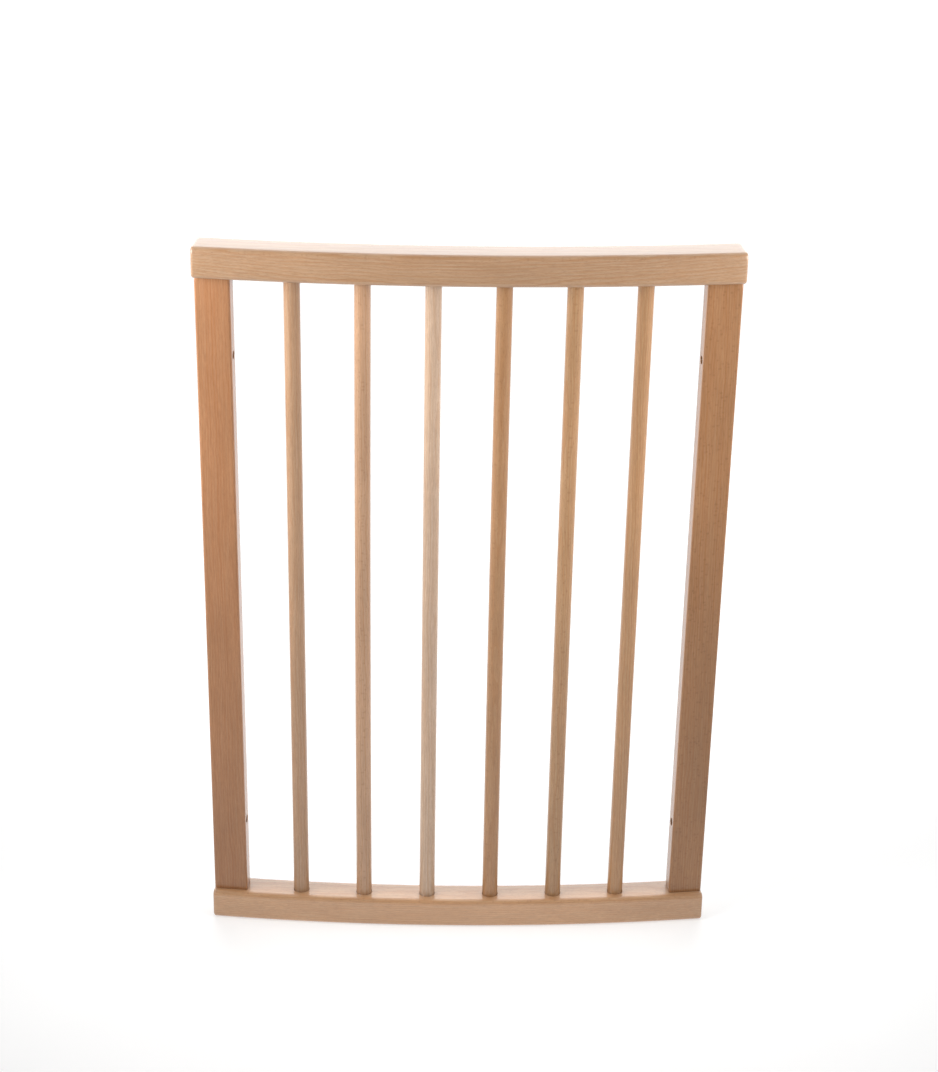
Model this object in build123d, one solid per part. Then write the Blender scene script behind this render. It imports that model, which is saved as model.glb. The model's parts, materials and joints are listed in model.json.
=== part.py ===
from build123d import *
import math
import os

# Side panel of a slatted wooden playpen, in millimetres and degrees.
# Two rails, curved in plan, hold two flat posts and a row of round spindles.
# +Z is up, +X runs along the panel and -Y is its convex outer side.
# The origin is on the floor, under the centre of the panel's bounding box.

# Whole panel
TOTAL_HEIGHT = 836.0
HALF_ANGLE = 7.23          # plan angle from the middle of the panel to the end of each rail
TOP_RADIUS = 2320.0        # plan radius of the top rail's centre line
BOTTOM_RADIUS = 2270.0     # the smaller bottom radius makes the panel taper towards the floor

# Rails
RAIL_DEPTH = 39.0
RAIL_HEIGHT = 35.5
RAIL_EDGE_RADIUS = 6.0
RAIL_END_RADIUS = 2.0

# Posts
POST_WIDTH = 38.5
POST_DEPTH = 22.0
POST_EDGE_RADIUS = 2.5
POST_END_RADIUS = 0.7
POST_INSET = 1.0           # from the end face of a rail to the outer face of its post

# Spindles
SPINDLE_COUNT = 6
SPINDLE_PITCH_ANGLE = 1.863
SPINDLE_DIAMETER = 18.0
SPINDLE_EDGE_CHAMFER = 1.0
SPINDLE_SOCKET_DEPTH = 18.0

# Dowels that join the posts to the rails
DOWEL_DIAMETER = 8.0
DOWEL_CHAMFER = 1.0
DOWEL_IN_RAIL = 17.0
DOWEL_IN_POST = 23.0
DOWEL_SPACING = 19.0
GLUE_GAP = 0.05            # radial gap round a spindle or a dowel
SOCKET_END_GAP = 1.0       # room for glue beyond the end of a spindle or a dowel

# Bolt holes that join the panel to its neighbours
BOLT_HOLE_DIAMETER = 9.0
BOLT_HOLE_FROM_END = 127.0  # from the top or the bottom of the panel to a hole's axis

# Sizes that follow from those above
OPENING_HEIGHT = TOTAL_HEIGHT - 2 * RAIL_HEIGHT
TOP_RAIL_UNDERSIDE = TOTAL_HEIGHT - RAIL_HEIGHT
MEAN_RADIUS = (TOP_RADIUS + BOTTOM_RADIUS) / 2
POST_ANGLE = HALF_ANGLE - math.degrees((POST_INSET + POST_WIDTH / 2) / MEAN_RADIUS)


def radius_at(height):
    """Plan radius of the panel's middle surface at a height."""
    rise = (height - RAIL_HEIGHT) / OPENING_HEIGHT
    return BOTTOM_RADIUS + rise * (TOP_RADIUS - BOTTOM_RADIUS)


def panel_point(angle, height, radius=None):
    """Point on the panel's middle surface, at a plan angle from its middle."""
    plan_radius = radius or radius_at(height)
    turn = math.radians(angle)
    return Vector(plan_radius * math.sin(turn), plan_radius * (1 - math.cos(turn)), height)


def tangent(angle):
    """Level direction along the panel at a plan angle, towards +X."""
    turn = math.radians(angle)
    return Vector(math.cos(turn), math.sin(turn), 0)


def upward(angle):
    """Direction of a post or spindle, from the bottom rail to the top rail."""
    return (panel_point(angle, TOP_RAIL_UNDERSIDE) - panel_point(angle, RAIL_HEIGHT)).normalized()


def rod(start, direction, diameter, length, chamfer_size=0):
    """Round bar from a point along a direction, with optional chamfered ends."""
    bar = Cylinder(diameter / 2, length, align=(Align.CENTER, Align.CENTER, Align.MIN))
    if chamfer_size:
        bar = chamfer(bar.edges().filter_by(GeomType.CIRCLE), chamfer_size)
    return Plane(origin=start, z_dir=direction) * bar


def spindle_angles():
    """Plan angles of the spindles, from left to right."""
    middle = (SPINDLE_COUNT - 1) / 2
    return [(index - middle) * SPINDLE_PITCH_ANGLE for index in range(SPINDLE_COUNT)]


def spindle(angle, extra_radius=0, extra_length=0):
    """Straight round bar that runs into both rails."""
    reach = SPINDLE_SOCKET_DEPTH + extra_length
    start = panel_point(angle, RAIL_HEIGHT - reach)
    end = panel_point(angle, TOP_RAIL_UNDERSIDE + reach)
    bevel = 0 if extra_radius else SPINDLE_EDGE_CHAMFER
    diameter = SPINDLE_DIAMETER + 2 * extra_radius
    return rod(start, upward(angle), diameter, (end - start).length, bevel)


def dowel_start(side, height, offset):
    """Point on a post's end face, offset along the panel from the post's middle."""
    return panel_point(side * POST_ANGLE, height) + tangent(side * POST_ANGLE) * offset


def dowel(side, is_top, offset, extra_radius=0, extra_length=0):
    """Short round pin, half in a post's end and half in the rail."""
    height = TOP_RAIL_UNDERSIDE if is_top else RAIL_HEIGHT
    below = DOWEL_IN_POST if is_top else DOWEL_IN_RAIL
    axis = upward(side * POST_ANGLE)
    start = dowel_start(side, height, offset) - axis * (below + extra_length)
    length = DOWEL_IN_POST + DOWEL_IN_RAIL + 2 * extra_length
    bevel = 0 if extra_radius else DOWEL_CHAMFER
    return rod(start, axis, DOWEL_DIAMETER + 2 * extra_radius, length, bevel)


def rail_blank(radius, base_height):
    """Rounded bar, revolved about the centre of the panel's plan curve."""
    start_plane = Plane(
        origin=panel_point(-HALF_ANGLE, base_height + RAIL_HEIGHT / 2, radius),
        x_dir=Vector(0, 0, 1),
        z_dir=tangent(-HALF_ANGLE),
    )
    section = start_plane * RectangleRounded(RAIL_HEIGHT, RAIL_DEPTH, RAIL_EDGE_RADIUS)
    plan_centre = Axis((0, radius, 0), (0, 0, 1))
    bar = revolve(section, plan_centre, 2 * HALF_ANGLE)
    faces_by_x = bar.faces().sort_by(Axis.X)
    end_edges = faces_by_x[0].edges() + faces_by_x[-1].edges()
    return fillet(end_edges, RAIL_END_RADIUS)


def spindle_sockets():
    """Cutters for the blind holes that hold the spindles."""
    return [spindle(angle, GLUE_GAP, SOCKET_END_GAP) for angle in spindle_angles()]


def dowel_holes(is_top, sides=(-1, 1)):
    """Cutters for the dowel holes at the top or bottom ends of the posts."""
    offsets = (-DOWEL_SPACING / 2, DOWEL_SPACING / 2)
    return [dowel(side, is_top, offset, GLUE_GAP, SOCKET_END_GAP) for side in sides for offset in offsets]


def rail(is_top):
    """Top or bottom rail, drilled for the spindles and dowels."""
    radius = TOP_RADIUS if is_top else BOTTOM_RADIUS
    base_height = TOP_RAIL_UNDERSIDE if is_top else 0
    return rail_blank(radius, base_height) - spindle_sockets() - dowel_holes(is_top)


def bolt_hole(side, height):
    """Cutter for a level hole through the width of a post."""
    centre = panel_point(side * POST_ANGLE, height)
    along = tangent(side * POST_ANGLE)
    return rod(centre - along * POST_WIDTH, along, BOLT_HOLE_DIAMETER, 2 * POST_WIDTH)


def post(side):
    """Flat post with level, rounded ends, leaning with the taper of the panel."""
    foot = Plane(
        origin=panel_point(side * POST_ANGLE, RAIL_HEIGHT),
        x_dir=tangent(side * POST_ANGLE),
        z_dir=Vector(0, 0, 1),
    )
    section = foot * RectangleRounded(POST_WIDTH, POST_DEPTH, POST_EDGE_RADIUS)
    axis = upward(side * POST_ANGLE)
    bar = extrude(section, OPENING_HEIGHT / axis.Z, dir=axis)
    faces_by_z = bar.faces().sort_by(Axis.Z)
    bar = fillet(faces_by_z[0].edges() + faces_by_z[-1].edges(), POST_END_RADIUS)
    bolt_heights = (BOLT_HOLE_FROM_END, TOTAL_HEIGHT - BOLT_HOLE_FROM_END)
    bolt_holes = [bolt_hole(side, height) for height in bolt_heights]
    return bar - dowel_holes(True, (side,)) - dowel_holes(False, (side,)) - bolt_holes


def panel_pieces():
    """Every piece of the panel by name, before it is centred on the origin."""
    pieces = {"top_rail": rail(True), "bottom_rail": rail(False)}
    for name, side in (("left", -1), ("right", 1)):
        pieces[name + "_post"] = post(side)
        for end, is_top in (("top", True), ("bottom", False)):
            for place, offset in (("outer", side * DOWEL_SPACING / 2), ("inner", -side * DOWEL_SPACING / 2)):
                pieces[f"{name}_{end}_{place}_dowel"] = dowel(side, is_top, offset)
    for number, angle in enumerate(spindle_angles(), start=1):
        pieces[f"spindle_{number}"] = spindle(angle)
    return pieces


def depth_centre(pieces):
    """Middle of the panel's bounding box, from front to back."""
    boxes = [piece.bounding_box() for piece in pieces.values()]
    return (min(box.min.Y for box in boxes) + max(box.max.Y for box in boxes)) / 2


def main():
    pieces = panel_pieces()
    shift = -depth_centre(pieces)
    os.makedirs("parts", exist_ok=True)
    for name, piece in pieces.items():
        export_step(Location((0, shift, 0)) * piece, f"parts/{name}.step")
    print(f"{len(pieces)} pieces; the centre line crosses the middle of the panel at y = {shift:.3f} mm")


main()
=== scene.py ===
import json
import math

import bpy
from mathutils import Matrix, Vector


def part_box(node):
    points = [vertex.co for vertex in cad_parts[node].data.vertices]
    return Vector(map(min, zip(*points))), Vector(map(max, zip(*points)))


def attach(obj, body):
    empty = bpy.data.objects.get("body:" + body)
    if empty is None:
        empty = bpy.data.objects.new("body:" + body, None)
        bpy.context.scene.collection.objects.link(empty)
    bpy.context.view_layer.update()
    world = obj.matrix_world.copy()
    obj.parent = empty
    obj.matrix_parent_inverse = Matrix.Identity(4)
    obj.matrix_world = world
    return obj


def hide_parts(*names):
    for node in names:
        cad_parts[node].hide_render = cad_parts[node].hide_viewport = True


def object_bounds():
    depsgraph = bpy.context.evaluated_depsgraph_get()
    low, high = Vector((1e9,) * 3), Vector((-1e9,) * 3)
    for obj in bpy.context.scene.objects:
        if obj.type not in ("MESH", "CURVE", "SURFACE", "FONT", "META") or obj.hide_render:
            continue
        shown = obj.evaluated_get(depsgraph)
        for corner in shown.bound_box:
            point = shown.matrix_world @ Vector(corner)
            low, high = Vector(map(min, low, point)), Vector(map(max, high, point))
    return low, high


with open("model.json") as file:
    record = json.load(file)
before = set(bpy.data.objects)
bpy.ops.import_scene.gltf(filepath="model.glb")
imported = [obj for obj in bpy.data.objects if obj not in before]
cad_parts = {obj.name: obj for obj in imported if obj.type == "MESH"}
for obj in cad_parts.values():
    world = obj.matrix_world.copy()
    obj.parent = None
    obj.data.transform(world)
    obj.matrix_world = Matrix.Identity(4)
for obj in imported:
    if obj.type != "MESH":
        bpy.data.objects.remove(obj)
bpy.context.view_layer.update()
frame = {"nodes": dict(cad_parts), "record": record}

# Side panel of a slatted beech playpen, in metres: -Y is its convex outer side.
# The rails, posts and spindles are rebuilt here with eased edges on the CAD's own axes.

MOUNTS = {mount["name"]: mount for mount in frame["record"]["mounts"]}
MM = 0.001

# Sizes of the panel, as in the CAD
TOP_RADIUS = 2.320
BOTTOM_RADIUS = 2.270
HALF_ANGLE = math.radians(7.23)
RAIL_DEPTH = 39.0 * MM
RAIL_EDGE_RADIUS = 6.0 * MM
POST_DEPTH = 22.0 * MM
POST_EDGE_RADIUS = 2.5 * MM
POST_END_EASE = 0.7 * MM
SPINDLE_RADIUS = 9.0 * MM
DOWEL_RADIUS = 4.0 * MM
DOWEL_SPACING = 19.0 * MM
SOCKET_GAP = 0.05 * MM
SOCKET_END_GAP = 1.0 * MM

# Softer than in the CAD: rounder ends of rails and spindles, eased hole mouths, a slight bow
RAIL_END_RADIUS = 2.6 * MM
SPINDLE_END_EASE = 1.0 * MM
SOCKET_MOUTH_EASE = 0.35 * MM
BOLT_MOUTH_EASE = 0.5 * MM
SPINDLE_BOW = (0.2, 0.7, 0.1, 0.5, 0.2, 0.1)   # millimetres towards -X at mid height

# Sizes that the frame gives
TOTAL_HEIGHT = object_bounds()[1].z
RAIL_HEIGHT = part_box("bottom_rail")[1].z
TOP_RAIL_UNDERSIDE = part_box("top_rail")[0].z
MIDDLE_Y = MOUNTS["underside"]["pos_m"][1]
BOLT_RADIUS = MOUNTS["left_lower_bolt_hole"]["dims"]["r_mm"] * MM
POST_WIDTH = MOUNTS["left_lower_bolt_hole"]["dims"]["length_mm"] * MM
SPINDLES = sorted(name for name in frame["nodes"] if name.startswith("spindle_"))
DOWELS = sorted(name for name in frame["nodes"] if name.endswith("_dowel"))

# How finely the meshes are divided
RAIL_STEPS = 96
POST_STEPS = 60
SPINDLE_STEPS = 48
END_STEPS = 4
BORE_STEPS = 48

# Beech: colour between the rings and on them, before each piece's own tint
PALE = (0.50, 0.32, 0.19)
DEEP = (0.425, 0.215, 0.095)
RAIL_LOOKS = {
    "top_rail": {"tint": (0.81, 0.82, 0.83), "pith": (28.0, -62.0), "ring_width": 3.1,
                 "seed": 1, "figure": 1.0},
    "bottom_rail": {"tint": (1.12, 1.06, 1.00), "pith": (-22.0, -75.0), "ring_width": 2.7,
                    "seed": 2, "figure": 0.7},
}
POST_LOOKS = {
    "left_post": {"tint": (0.78, 0.62, 0.52), "pith": (70.0, 46.0), "ring_width": 2.2,
                  "seed": 3, "figure": 0.8},
    "right_post": {"tint": (0.69, 0.57, 0.46), "pith": (-84.0, 30.0), "ring_width": 2.5,
                   "seed": 4, "figure": 0.8},
}
SPINDLE_TINTS = (
    (0.86, 0.85, 0.87), (0.96, 0.95, 1.00), (1.06, 1.23, 1.54),
    (0.79, 0.69, 0.56), (0.82, 0.77, 0.67), (0.86, 0.79, 0.68),
)
SPINDLE_PITH_RADIUS = 38.0
DOWEL_LOOK = {"tint": (1.0, 1.0, 1.0), "pith": (20.0, 9.0), "ring_width": 2.0, "figure": 0.6}
RAIL_GLOSS = {"lacquer": 1.0, "specular": 0.5}
POST_GLOSS = {"lacquer": 0.8, "specular": 0.15}
SPINDLE_GLOSS = {"lacquer": 1.0, "specular": 0.2}
DOWEL_GLOSS = {"lacquer": 0.0, "specular": 0.1}

# Changes per millimetre of each part of the figure, across the grain and along it
RING_WANDER_RATE = (0.035, 0.007)
STREAK_RATE = (0.55, 0.011)
FIBRE_RATE = (1.4, 0.09)
CLOUD_RATE = (0.02, 0.006)
STAIN_RATE = (0.25, 0.02)
RAY_RATE = (0.11, 0.8, 0.2)    # along the ring radius, around it and along the grain
RING_WANDER = 11.0             # millimetres
GRAIN_SLOPE = 0.01             # sideways run of the grain per length
SEED_SPACING = 371.0           # millimetres of grain between one piece's wood and the next

# Strength of each part of the figure
RING_TINT = 0.9
STREAK_TINT = 0.8
RAY_TINT = 0.26
STAIN_TINT = 0.4
FIBRE_SHADE = (0.82, 1.12)
CLOUD_SHADE = (0.91, 1.09)
END_GRAIN_SHADE = 0.72
ROUGHNESS = (0.40, 0.52)
END_GRAIN_ROUGHNESS = 0.15
LACQUER_ROUGHNESS = 0.08
LACQUER_IOR = 1.5
RELIEF_STRENGTH = 0.35
RELIEF_DEPTH = 0.00012

# Floor: pale, with painted light: its emission is a painted glow, full round the panel and weaker far in
# front
FLOOR_EXTENT = 40.0
FLOOR_TONE = (0.59, 0.61)
FLOOR_PAINTED_GLOW = 0.50
FRONT_PAINTED_GLOW = 0.5               # share of the glow that is left far in front
PAINTED_GLOW_FADE = (-1.5, -0.34)      # y in metres between which it rises to full

# Light
SOFTBOXES = (
    # name, place, aimed at, width, height, spread in degrees, power
    ("key_left", (-0.95, -0.32, 1.02), (-0.05, 0.0, 0.86), 0.9, 0.9, 104, 9.2),
    ("key_right", (0.95, -0.32, 1.02), (0.05, 0.0, 0.86), 0.9, 0.9, 104, 6.9),
    ("top_back", (0.0, 1.6, 2.4), (0.0, 1.6, 0.0), 2.6, 3.2, 180, 30.0),
    ("floor_back", (0.0, 0.95, 1.6), (0.0, 1.0, 0.0), 2.4, 0.8, 80, 3.0),
    ("back_wall", (0.0, 4.6, 1.9), (0.0, 0.0, 0.7), 6.0, 3.0, 180, 140.0),
)
HORIZON_GLOW = 0.7
SKY_GLOW = 0.04
HORIZON_FADE = (0.10, 0.30)    # sine of the elevation where the horizon's glow ends

# Camera
CAMERA_PLACE = (-0.0577, -2.8171, 1.8695)
CAMERA_TURN = math.radians(-1.271)
CAMERA_TILT = math.radians(25.960)
CAMERA_ROLL = math.radians(1.078)
FOCAL_LENGTH = 95.05
SENSOR_WIDTH = 36.0


# ---------------------------------------------------------------- geometry helpers

def arc_point(radius, turn, height):
    """Point on a plan arc whose middle is the panel's middle."""
    return Vector((radius * math.sin(turn), MIDDLE_Y + radius * (1 - math.cos(turn)), height))


def inward(turn):
    """Level direction towards the centre of the plan arc, away from the convex side."""
    return Vector((-math.sin(turn), math.cos(turn), 0))


def rounded_rectangle(width, depth, radius, corner_steps=10, flat_steps=4):
    """Outline points (u, v), anticlockwise, with evenly divided flats and corners."""
    outline = []
    corners = ((1, 1, 0), (-1, 1, 90), (-1, -1, 180), (1, -1, 270))
    for index, (side_u, side_v, start) in enumerate(corners):
        centre = Vector((side_u * (width / 2 - radius), side_v * (depth / 2 - radius)))
        for step in range(corner_steps + 1):
            angle = math.radians(start + 90 * step / corner_steps)
            outline.append(centre + radius * Vector((math.cos(angle), math.sin(angle))))
        next_u, next_v, next_start = corners[(index + 1) % 4]
        next_centre = Vector((next_u * (width / 2 - radius), next_v * (depth / 2 - radius)))
        angle = math.radians(next_start)
        flat_end = next_centre + radius * Vector((math.cos(angle), math.sin(angle)))
        flat_start = outline[-1]
        outline += [flat_start.lerp(flat_end, step / flat_steps) for step in range(1, flat_steps)]
    return outline


def circle(radius, steps=72):
    """Outline points of a circle."""
    turns = [2 * math.pi * step / steps for step in range(steps)]
    return [radius * Vector((math.cos(turn), math.sin(turn))) for turn in turns]


def loft(name, rings):
    """Closed mesh object through rings that have the same number of points."""
    count = len(rings[0])
    points = [point for ring in rings for point in ring]
    faces = [tuple(reversed(range(count)))]
    for row in range(len(rings) - 1):
        for column in range(count):
            after = (column + 1) % count
            low, high = row * count, (row + 1) * count
            faces.append((low + column, low + after, high + after, high + column))
    faces.append(tuple(range(len(points) - count, len(points))))
    mesh = bpy.data.meshes.new(name)
    mesh.from_pydata([tuple(point) for point in points], [], faces)
    mesh.validate()
    piece = bpy.data.objects.new(name, mesh)
    bpy.context.scene.collection.objects.link(piece)
    return piece


def eased(length, ease, steps):
    """Stations (distance, inset) along a bar whose two end edges are rounded off."""
    turns = [math.pi / 2 * step / END_STEPS for step in range(END_STEPS + 1)]
    start = [(ease * (1 - math.sin(turn)), ease * (1 - math.cos(turn))) for turn in reversed(turns)]
    middle = [(ease + (length - 2 * ease) * step / steps, 0) for step in range(1, steps)]
    end = [(length - distance, inset) for distance, inset in reversed(start)]
    return start + middle + end


def straight_bar(name, start, end, side, outline_at, ease, steps, bow=0.0, level_ends=False):
    """Bar between two points; outline_at(inset) gives its section across the side direction."""
    axis = (end - start).normalized()
    across = Vector((0, 0, 1)).cross(side) if level_ends else axis.cross(side).normalized()
    rings = []
    for distance, inset in eased((end - start).length, ease, steps):
        share = distance / (end - start).length
        centre = start + axis * distance - Vector((bow * math.sin(math.pi * share), 0, 0))
        rings.append([centre + side * point.x + across * point.y for point in outline_at(inset)])
    return loft(name, rings)


def cut(piece, cutters):
    """Subtracts the cutters from a piece and removes them."""
    for cutter in cutters:
        modifier = piece.modifiers.new("cut", "BOOLEAN")
        modifier.operation = "DIFFERENCE"
        modifier.solver = "EXACT"
        modifier.object = cutter
    graph = bpy.context.evaluated_depsgraph_get()
    mesh = bpy.data.meshes.new_from_object(piece.evaluated_get(graph))
    piece.modifiers.clear()
    piece.data = mesh
    mesh.name = piece.name
    for cutter in cutters:
        bpy.data.objects.remove(cutter)


def bore(start, end, radius, mouth_ease):
    """Cutter for a round hole; the mouth at its start is chamfered, and it runs on outside."""
    axis = (end - start).normalized()
    side = axis.orthogonal().normalized()
    across = axis.cross(side)
    outside = 2 * MM
    stations = (
        (-outside, radius + mouth_ease + outside),
        (mouth_ease, radius),
        ((end - start).length, radius),
    )
    rings = []
    for distance, ring_radius in stations:
        centre = start + axis * distance
        outline = circle(ring_radius, BORE_STEPS)
        rings.append([centre + side * point.x + across * point.y for point in outline])
    return loft("bore", rings)


def smooth(piece, sharpest=40):
    """Smooth shading, with edges sharper than an angle left crisp."""
    mesh = piece.data
    mesh.shade_smooth()
    mesh.set_sharp_from_angle(angle=math.radians(sharpest))


# ---------------------------------------------------------------- places from the frame

def spindle_axis(name):
    """Lower and upper end of a spindle, from its box: it leans outwards, and a little back."""
    low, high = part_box(name)
    side = 1 if low.x + high.x > 0 else -1
    bottom_x = low.x + SPINDLE_RADIUS if side > 0 else high.x - SPINDLE_RADIUS
    top_x = high.x - SPINDLE_RADIUS if side > 0 else low.x + SPINDLE_RADIUS
    bottom = Vector((bottom_x, low.y + SPINDLE_RADIUS, low.z))
    return bottom, Vector((top_x, high.y - SPINDLE_RADIUS, high.z))


def post_line(side):
    """Function that gives the point on a post's middle line at a height, and its side direction."""
    name = "right" if side > 0 else "left"
    lower = Vector(MOUNTS[name + "_lower_bolt_hole"]["pos_m"])
    upper = Vector(MOUNTS[name + "_upper_bolt_hole"]["pos_m"])
    outward = Vector(MOUNTS[name + "_lower_bolt_hole"]["axis"])

    def at(height):
        return lower.lerp(upper, (height - lower.z) / (upper.z - lower.z))

    return at, outward * side


# ---------------------------------------------------------------- pieces of the panel

def stand_for(piece, node):
    """Puts a finished piece in place of its CAD node."""
    smooth(piece)
    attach(piece, "root")
    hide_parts(node)
    return piece


def dowel_bores(side, height, up):
    """Cutters for one pair of dowel holes, from a joint at a height, upwards or downwards."""
    at, outward = post_line(side)
    name = ("right" if side > 0 else "left") + ("_top_" if height > TOTAL_HEIGHT / 2 else "_bottom_")
    low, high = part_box(name + "inner_dowel")
    reach = (high.z if up else low.z) + (SOCKET_END_GAP if up else -SOCKET_END_GAP)
    cutters = []
    for offset in (-DOWEL_SPACING / 2, DOWEL_SPACING / 2):
        shift = outward * offset
        cutters.append(bore(at(height) + shift, at(reach) + shift, DOWEL_RADIUS + SOCKET_GAP, 0))
    return cutters


def build_rail(name, radius, is_top):
    """Bowed rail with rounded edges and ends, bored for the spindles and dowels."""
    base = TOP_RAIL_UNDERSIDE if is_top else 0
    joint_height = TOP_RAIL_UNDERSIDE if is_top else RAIL_HEIGHT
    rings = []
    for distance, inset in eased(2 * HALF_ANGLE * radius, RAIL_END_RADIUS, RAIL_STEPS):
        turn = distance / radius - HALF_ANGLE
        centre = arc_point(radius, turn, base + RAIL_HEIGHT / 2)
        outline = rounded_rectangle(
            RAIL_DEPTH - 2 * inset, RAIL_HEIGHT - 2 * inset, RAIL_EDGE_RADIUS - inset
        )
        rings.append([centre + inward(turn) * point.x + Vector((0, 0, point.y)) for point in outline])
    piece = loft(name + "_beech", rings)
    cutters = []
    for spindle in SPINDLES:
        bottom, top = spindle_axis(spindle)
        axis = (top - bottom).normalized()
        mouth = bottom + axis * ((joint_height - bottom.z) / axis.z)
        end = top + axis * SOCKET_END_GAP if is_top else bottom - axis * SOCKET_END_GAP
        cutters.append(bore(mouth, end, SPINDLE_RADIUS + SOCKET_GAP, SOCKET_MOUTH_EASE))
    for side in (-1, 1):
        cutters += dowel_bores(side, joint_height, is_top)
    cut(piece, cutters)
    return stand_for(piece, name)


def build_post(name, side):
    """Flat end post with eased arrises, bolt holes through its width and dowel holes in its ends."""
    at, outward = post_line(side)

    def outline_at(inset):
        return rounded_rectangle(
            POST_WIDTH - 2 * inset, POST_DEPTH - 2 * inset, POST_EDGE_RADIUS - inset, corner_steps=6
        )

    foot, head = at(RAIL_HEIGHT), at(TOP_RAIL_UNDERSIDE)
    piece = straight_bar(
        name + "_beech", foot, head, outward, outline_at, POST_END_EASE, POST_STEPS, level_ends=True
    )
    cutters = dowel_bores(side, RAIL_HEIGHT, True) + dowel_bores(side, TOP_RAIL_UNDERSIDE, False)
    hand = "right" if side > 0 else "left"
    overlap = 1 * MM
    for level in ("lower", "upper"):
        centre = Vector(MOUNTS[f"{hand}_{level}_bolt_hole"]["pos_m"])
        for direction in (-1, 1):
            mouth = centre + outward * direction * POST_WIDTH / 2
            beyond = centre - outward * direction * overlap
            cutters.append(bore(mouth, beyond, BOLT_RADIUS, BOLT_MOUTH_EASE))
    cut(piece, cutters)
    return stand_for(piece, name)


def build_spindle(name, bow):
    """Round bar with eased ends and the slight bow of a real one."""
    bottom, top = spindle_axis(name)
    side = Vector((0, 1, 0)).cross(top - bottom).normalized()

    def outline_at(inset):
        return circle(SPINDLE_RADIUS - inset)

    piece = straight_bar(
        name + "_beech", bottom, top, side, outline_at, SPINDLE_END_EASE, SPINDLE_STEPS, bow=bow * MM
    )
    return stand_for(piece, name)


# ---------------------------------------------------------------- shader helpers

class Shader:
    """Short calls for adding nodes to one material; every value is a number or a socket."""

    def __init__(self, name):
        self.material = bpy.data.materials.new(name)
        self.material.use_nodes = True
        self.nodes = self.material.node_tree.nodes
        self.links = self.material.node_tree.links
        self.nodes.clear()

    def add(self, kind, inputs=(), output=0, **settings):
        """Adds a node, fills its inputs by name or index, and returns one of its outputs."""
        node = self.nodes.new(kind)
        for key, value in settings.items():
            setattr(node, key, value)
        for key, value in dict(inputs).items():
            socket = node.inputs[key]
            if isinstance(value, bpy.types.NodeSocket):
                self.links.new(value, socket)
            else:
                socket.default_value = value
        return node.outputs[output]

    def math(self, operation, first, second=0.0, clamp=False):
        inputs = {0: first, 1: second}
        return self.add("ShaderNodeMath", inputs, operation=operation, use_clamp=clamp)

    def vector(self, x, y, z):
        return self.add("ShaderNodeCombineXYZ", {0: x, 1: y, 2: z})

    def split(self, vector):
        """The x, y and z of a vector, as three sockets."""
        node = self.nodes.new("ShaderNodeSeparateXYZ")
        self.links.new(vector, node.inputs[0])
        return node.outputs

    def noise(self, vector, scale=1.0, detail=2.0, roughness=0.5):
        inputs = {"Vector": vector, "Scale": scale, "Detail": detail, "Roughness": roughness}
        return self.add("ShaderNodeTexNoise", inputs, noise_dimensions="3D")

    def ramp(self, value, low, high, low_out=0.0, high_out=1.0, kind="SMOOTHSTEP"):
        inputs = {"Value": value, 1: low, 2: high, 3: low_out, 4: high_out}
        return self.add("ShaderNodeMapRange", inputs, interpolation_type=kind, clamp=True)

    def blend(self, factor, first, second, kind="MIX"):
        node = self.nodes.new("ShaderNodeMix")
        node.data_type = "RGBA"
        node.blend_type = kind
        for index, value in ((0, factor), (6, first), (7, second)):
            if isinstance(value, bpy.types.NodeSocket):
                self.links.new(value, node.inputs[index])
            else:
                node.inputs[index].default_value = value
        return node.outputs[2]

    def finish(self, surface):
        """Joins a surface to the material's output and returns the material."""
        output = self.nodes.new("ShaderNodeOutputMaterial")
        self.links.new(surface, output.inputs["Surface"])
        return self.material


def colour(red, green, blue):
    return (red, green, blue, 1.0)


# ---------------------------------------------------------------- beech

def grain_place(shader, piece_centre, grain_axis, pith, seed):
    """Millimetres across, beside and along the grain, the first two from the pith line."""
    place = shader.add("ShaderNodeTexCoord", output="Object")
    mapping = {
        "Vector": place,
        "Location": [-value / MM for value in piece_centre],
        "Scale": (1 / MM,) * 3,
    }
    axes = shader.split(shader.add("ShaderNodeMapping", mapping))
    order = {"X": (1, 2, 0), "Z": (0, 1, 2)}[grain_axis]
    across, beside, length = (axes[index] for index in order)
    across = shader.math("ADD", across, shader.math("MULTIPLY", length, GRAIN_SLOPE))
    across = shader.math("ADD", across, -pith[0])
    beside = shader.math("ADD", beside, -pith[1])
    length = shader.math("ADD", length, SEED_SPACING * seed)
    return across, beside, length


def drawn_out(shader, grain, rate):
    """Place for noise, with its own rate of change across the grain and along it."""
    across, beside, length = grain
    return shader.vector(
        shader.math("MULTIPLY", across, rate[0]),
        shader.math("MULTIPLY", beside, rate[0]),
        shader.math("MULTIPLY", length, rate[1]),
    )


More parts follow.
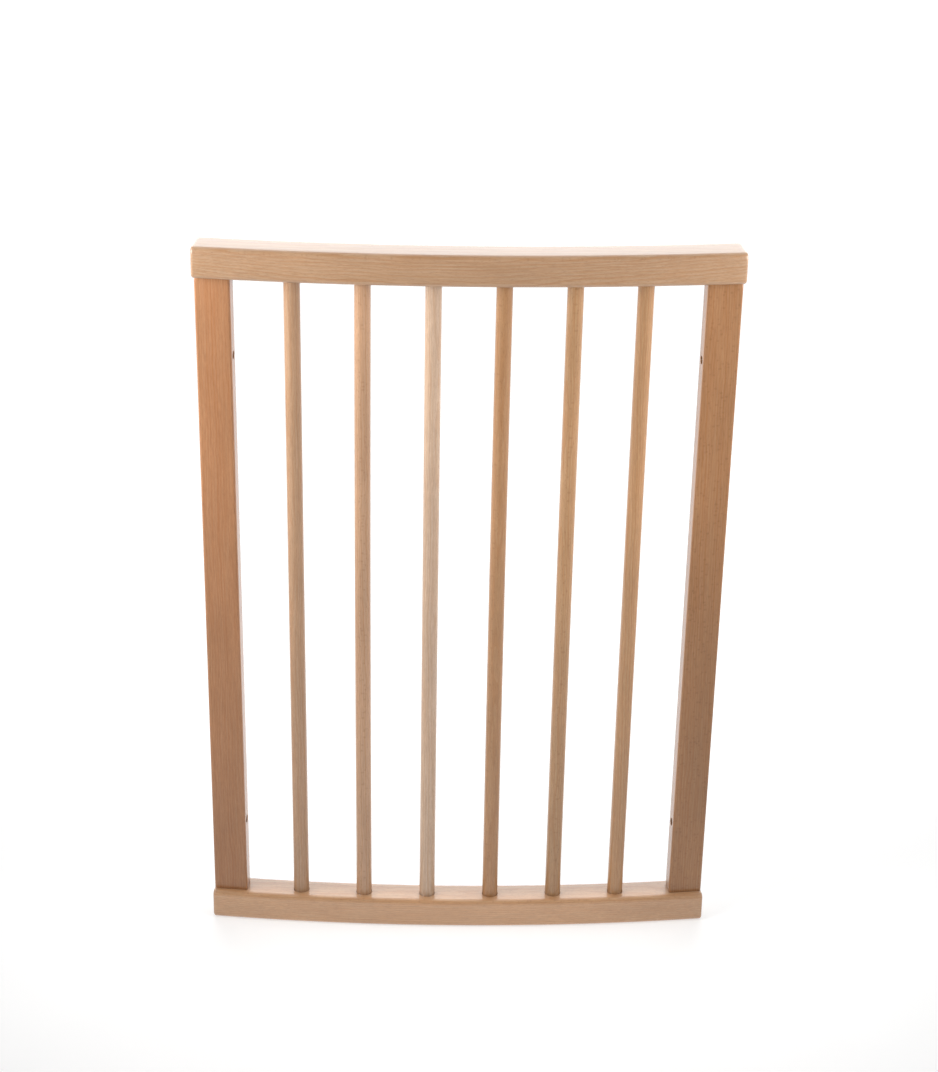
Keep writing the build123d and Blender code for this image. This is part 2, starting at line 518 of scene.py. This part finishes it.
def growth_rings(shader, grain, ring_width):
    """Strength of the late wood, the distance from the pith, and the same with its wander."""
    across, beside, _ = grain
    pith_distance = shader.math(
        "SQRT",
        shader.math("ADD", shader.math("POWER", across, 2.0), shader.math("POWER", beside, 2.0)),
    )
    wander = shader.noise(drawn_out(shader, grain, RING_WANDER_RATE), detail=3.0, roughness=0.55)
    radius = shader.math("ADD", pith_distance, shader.math("MULTIPLY", wander, RING_WANDER))
    ring_count = shader.math("DIVIDE", radius, ring_width)
    ring_share = shader.math("FRACT", ring_count)
    late_wood = shader.math(
        "MULTIPLY", shader.ramp(ring_share, 0.25, 0.92), shader.ramp(ring_share, 0.94, 1.0, 1.0, 0.0)
    )
    ring_number = shader.math("FLOOR", ring_count)
    ring_tone = shader.add("ShaderNodeTexWhiteNoise", {"W": ring_number}, noise_dimensions="1D")
    rings = shader.math("MULTIPLY", late_wood, shader.ramp(ring_tone, 0.0, 1.0, 0.35, 1.0, "LINEAR"))
    return rings, pith_distance, radius


def wood_rays(shader, grain, pith_distance, radius):
    """Thin sheets along the radius: dashes on one face and silvery flakes on the other."""
    across, beside, length = grain
    bearing = shader.math("MULTIPLY", shader.math("ARCTAN2", beside, across), pith_distance)
    ray_at = shader.vector(
        shader.math("MULTIPLY", radius, RAY_RATE[0]),
        shader.math("MULTIPLY", bearing, RAY_RATE[1]),
        shader.math("MULTIPLY", length, RAY_RATE[2]),
    )
    distance = shader.add(
        "ShaderNodeTexVoronoi", {"Vector": ray_at, "Scale": 1.0, "Randomness": 1.0}, output="Distance"
    )
    return shader.ramp(distance, 0.10, 0.38, 1.0, 0.0)


def end_grain_share(shader, grain_axis):
    """One where the surface is cut across the grain, nought where it runs along it."""
    facing = shader.split(shader.add("ShaderNodeTexCoord", output="Normal"))
    return shader.ramp(shader.math("ABSOLUTE", facing["XYZ".index(grain_axis)]), 0.55, 0.95)


def beech(name, piece_centre, grain_axis, pith, ring_width, pale, deep, seed, figure, lacquer, specular):
    """Clear-lacquered solid beech: rings about a pith line, fibres, rays, end grain and sheen.

    Cross-grain places are in millimetres from the piece's centre; pale and deep are the colours
    between the rings and on them, and figure is how strongly the rings show.
    """
    shader = Shader(name)
    grain = grain_place(shader, piece_centre, grain_axis, pith, seed)
    rings, pith_distance, radius = growth_rings(shader, grain, ring_width)
    streaks = shader.noise(drawn_out(shader, grain, STREAK_RATE), detail=4.0, roughness=0.62)
    fibres = shader.noise(drawn_out(shader, grain, FIBRE_RATE), detail=3.0, roughness=0.6)
    rays = wood_rays(shader, grain, pith_distance, radius)
    clouds = shader.noise(drawn_out(shader, grain, CLOUD_RATE), detail=2.0)
    stain_noise = shader.noise(drawn_out(shader, grain, STAIN_RATE), detail=5.0, roughness=0.7)
    stains = shader.ramp(stain_noise, 0.66, 0.78)
    end_grain = end_grain_share(shader, grain_axis)

    wood = shader.blend(shader.math("MULTIPLY", rings, RING_TINT * figure), colour(*pale), colour(*deep))
    streak_tint = shader.ramp(streaks, 0.3, 0.7, 0.0, STREAK_TINT * figure, "LINEAR")
    wood = shader.blend(streak_tint, wood, colour(*deep))
    fibre_shade = shader.ramp(fibres, 0.25, 0.75, *FIBRE_SHADE, "LINEAR")
    wood = shader.blend(1.0, wood, fibre_shade, "MULTIPLY")
    ray_colour = colour(*[0.55 * value for value in deep])
    wood = shader.blend(shader.math("MULTIPLY", rays, RAY_TINT), wood, ray_colour)
    wood = shader.blend(1.0, wood, shader.ramp(clouds, 0.3, 0.7, *CLOUD_SHADE, "LINEAR"), "MULTIPLY")
    stain_colour = colour(*[0.5 * value for value in deep])
    wood = shader.blend(shader.math("MULTIPLY", stains, STAIN_TINT), wood, stain_colour)
    # Cut across the grain, the wood drinks more lacquer: darker and duller.
    end_shade = shader.ramp(end_grain, 0.0, 1.0, 1.0, END_GRAIN_SHADE, "LINEAR")
    wood = shader.blend(1.0, wood, end_shade, "MULTIPLY")

    roughness = shader.ramp(fibres, 0.2, 0.8, *ROUGHNESS, "LINEAR")
    end_roughness = shader.math("MULTIPLY", end_grain, END_GRAIN_ROUGHNESS)
    roughness = shader.math("ADD", roughness, end_roughness, clamp=True)
    relief = shader.math("ADD", fibres, shader.math("MULTIPLY", rays, -0.5))
    relief = shader.math("ADD", relief, shader.math("MULTIPLY", rings, 0.5))
    bump_inputs = {"Height": relief, "Strength": RELIEF_STRENGTH, "Distance": RELIEF_DEPTH}
    surface_inputs = {
        "Base Color": wood,
        "Roughness": roughness,
        "Normal": shader.add("ShaderNodeBump", bump_inputs, output="Normal"),
        "Specular IOR Level": specular,
        "Coat Weight": lacquer,
        "Coat Roughness": LACQUER_ROUGHNESS,
        "Coat IOR": LACQUER_IOR,
    }
    return shader.finish(shader.add("ShaderNodeBsdfPrincipled", surface_inputs))


def finish_wood(piece, node, tint, **look):
    """Gives a piece its own cut of beech; tint multiplies the common colours."""
    low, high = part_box(node)
    centre = [(a + b) / 2 for a, b in zip(low, high)]
    pale, deep = ([value * part for value, part in zip(base, tint)] for base in (PALE, DEEP))
    piece.data.materials.clear()
    piece.data.materials.append(beech(node + "_beech", centre, pale=pale, deep=deep, **look))


def spindle_look(index):
    """Each spindle is cut from another side of its stock."""
    turn = 2.4 * index + 0.7
    return {
        "tint": SPINDLE_TINTS[index],
        "pith": (SPINDLE_PITH_RADIUS * math.cos(turn), SPINDLE_PITH_RADIUS * math.sin(turn)),
        "ring_width": 2.3 + 0.25 * (index % 3),
        "seed": 5 + index,
        "figure": 0.7,
    }


# ---------------------------------------------------------------- floor, light and camera

def build_floor():
    """Pale floor whose emission is painted light: a glow that is full round the panel and weaker far in
    front of it.
    """
    shader = Shader("studio_floor")
    place = shader.add("ShaderNodeTexCoord", output="Object")
    mottle = shader.noise(place, scale=3.0, detail=3.0)
    tone = shader.ramp(mottle, 0.2, 0.8, *FLOOR_TONE, "LINEAR")
    # Painted light: the floor's emission, a pool that fades to a share of its strength far in front of
    # the panel.
    glow = shader.ramp(shader.split(place)["Y"], *PAINTED_GLOW_FADE, FRONT_PAINTED_GLOW, 1.0)
    surface_inputs = {
        "Base Color": shader.blend(1.0, colour(1, 1, 1), tone, "MULTIPLY"),
        "Roughness": 0.6,
        "Specular IOR Level": 0.2,
        "Emission Color": colour(1, 1, 1),
        "Emission Strength": shader.math("MULTIPLY", glow, FLOOR_PAINTED_GLOW),
    }
    material = shader.finish(shader.add("ShaderNodeBsdfPrincipled", surface_inputs))
    signs = ((-1, -1), (1, -1), (1, 1), (-1, 1))
    corners = [(FLOOR_EXTENT * x, FLOOR_EXTENT * y, 0) for x, y in signs]
    mesh = bpy.data.meshes.new("studio_floor")
    mesh.from_pydata(corners, [], [(0, 1, 2, 3)])
    mesh.materials.append(material)
    floor = bpy.data.objects.new("studio_floor", mesh)
    bpy.context.scene.collection.objects.link(floor)


def softbox(name, place, target, width, height, spread, power):
    """Rectangular area light aimed at a point; spread is the beam angle its grid allows."""
    light = bpy.data.lights.new(name, "AREA")
    light.shape = "RECTANGLE"
    light.size, light.size_y = width, height
    light.spread = math.radians(spread)
    light.energy = power
    lamp = bpy.data.objects.new(name, light)
    lamp.visible_camera = False
    lamp.location = place
    lamp.rotation_euler = (Vector(target) - Vector(place)).to_track_quat("-Z", "Y").to_euler()
    bpy.context.scene.collection.objects.link(lamp)


def build_light():
    """Softboxes, and a dim sky that brightens towards the horizon."""
    world = bpy.data.worlds.new("studio")
    world.use_nodes = True
    nodes, links = world.node_tree.nodes, world.node_tree.links
    direction = nodes.new("ShaderNodeTexCoord")
    axes = nodes.new("ShaderNodeSeparateXYZ")
    fade = nodes.new("ShaderNodeMapRange")
    fade.interpolation_type = "SMOOTHSTEP"
    for index, value in zip((1, 2, 3, 4), (*HORIZON_FADE, HORIZON_GLOW, SKY_GLOW)):
        fade.inputs[index].default_value = value
    links.new(direction.outputs["Generated"], axes.inputs[0])
    links.new(axes.outputs["Z"], fade.inputs["Value"])
    links.new(fade.outputs["Result"], nodes["Background"].inputs["Strength"])
    nodes["Background"].inputs["Color"].default_value = colour(1, 1, 1)
    bpy.context.scene.world = world
    for settings in SOFTBOXES:
        softbox(*settings)


def build_camera():
    """Camera in front of the convex side, looking down at the panel."""
    data = bpy.data.cameras.new("camera")
    data.lens = FOCAL_LENGTH
    data.sensor_width = SENSOR_WIDTH
    camera = bpy.data.objects.new("camera", data)
    camera.matrix_world = (
        Matrix.Translation(CAMERA_PLACE)
        @ Matrix.Rotation(CAMERA_TURN, 4, "Z")
        @ Matrix.Rotation(math.pi / 2 - CAMERA_TILT, 4, "X")
        @ Matrix.Rotation(CAMERA_ROLL, 4, "Z")
    )
    bpy.context.scene.collection.objects.link(camera)
    bpy.context.scene.camera = camera


# ---------------------------------------------------------------- the whole scene

rails = {
    "top_rail": build_rail("top_rail", TOP_RADIUS, True),
    "bottom_rail": build_rail("bottom_rail", BOTTOM_RADIUS, False),
}
posts = {"left_post": build_post("left_post", -1), "right_post": build_post("right_post", 1)}
spindles = {name: build_spindle(name, bow) for name, bow in zip(SPINDLES, SPINDLE_BOW)}

for name, look in RAIL_LOOKS.items():
    finish_wood(rails[name], name, grain_axis="X", **look, **RAIL_GLOSS)
for name, look in POST_LOOKS.items():
    finish_wood(posts[name], name, grain_axis="Z", **look, **POST_GLOSS)
for index, name in enumerate(SPINDLES):
    finish_wood(spindles[name], name, grain_axis="Z", **spindle_look(index), **SPINDLE_GLOSS)
for index, name in enumerate(DOWELS):
    dowel = frame["nodes"][name]
    finish_wood(dowel, name, grain_axis="Z", seed=20 + index, **DOWEL_LOOK, **DOWEL_GLOSS)

build_floor()
build_light()
build_camera()
bpy.context.scene.view_settings.view_transform = "Standard"
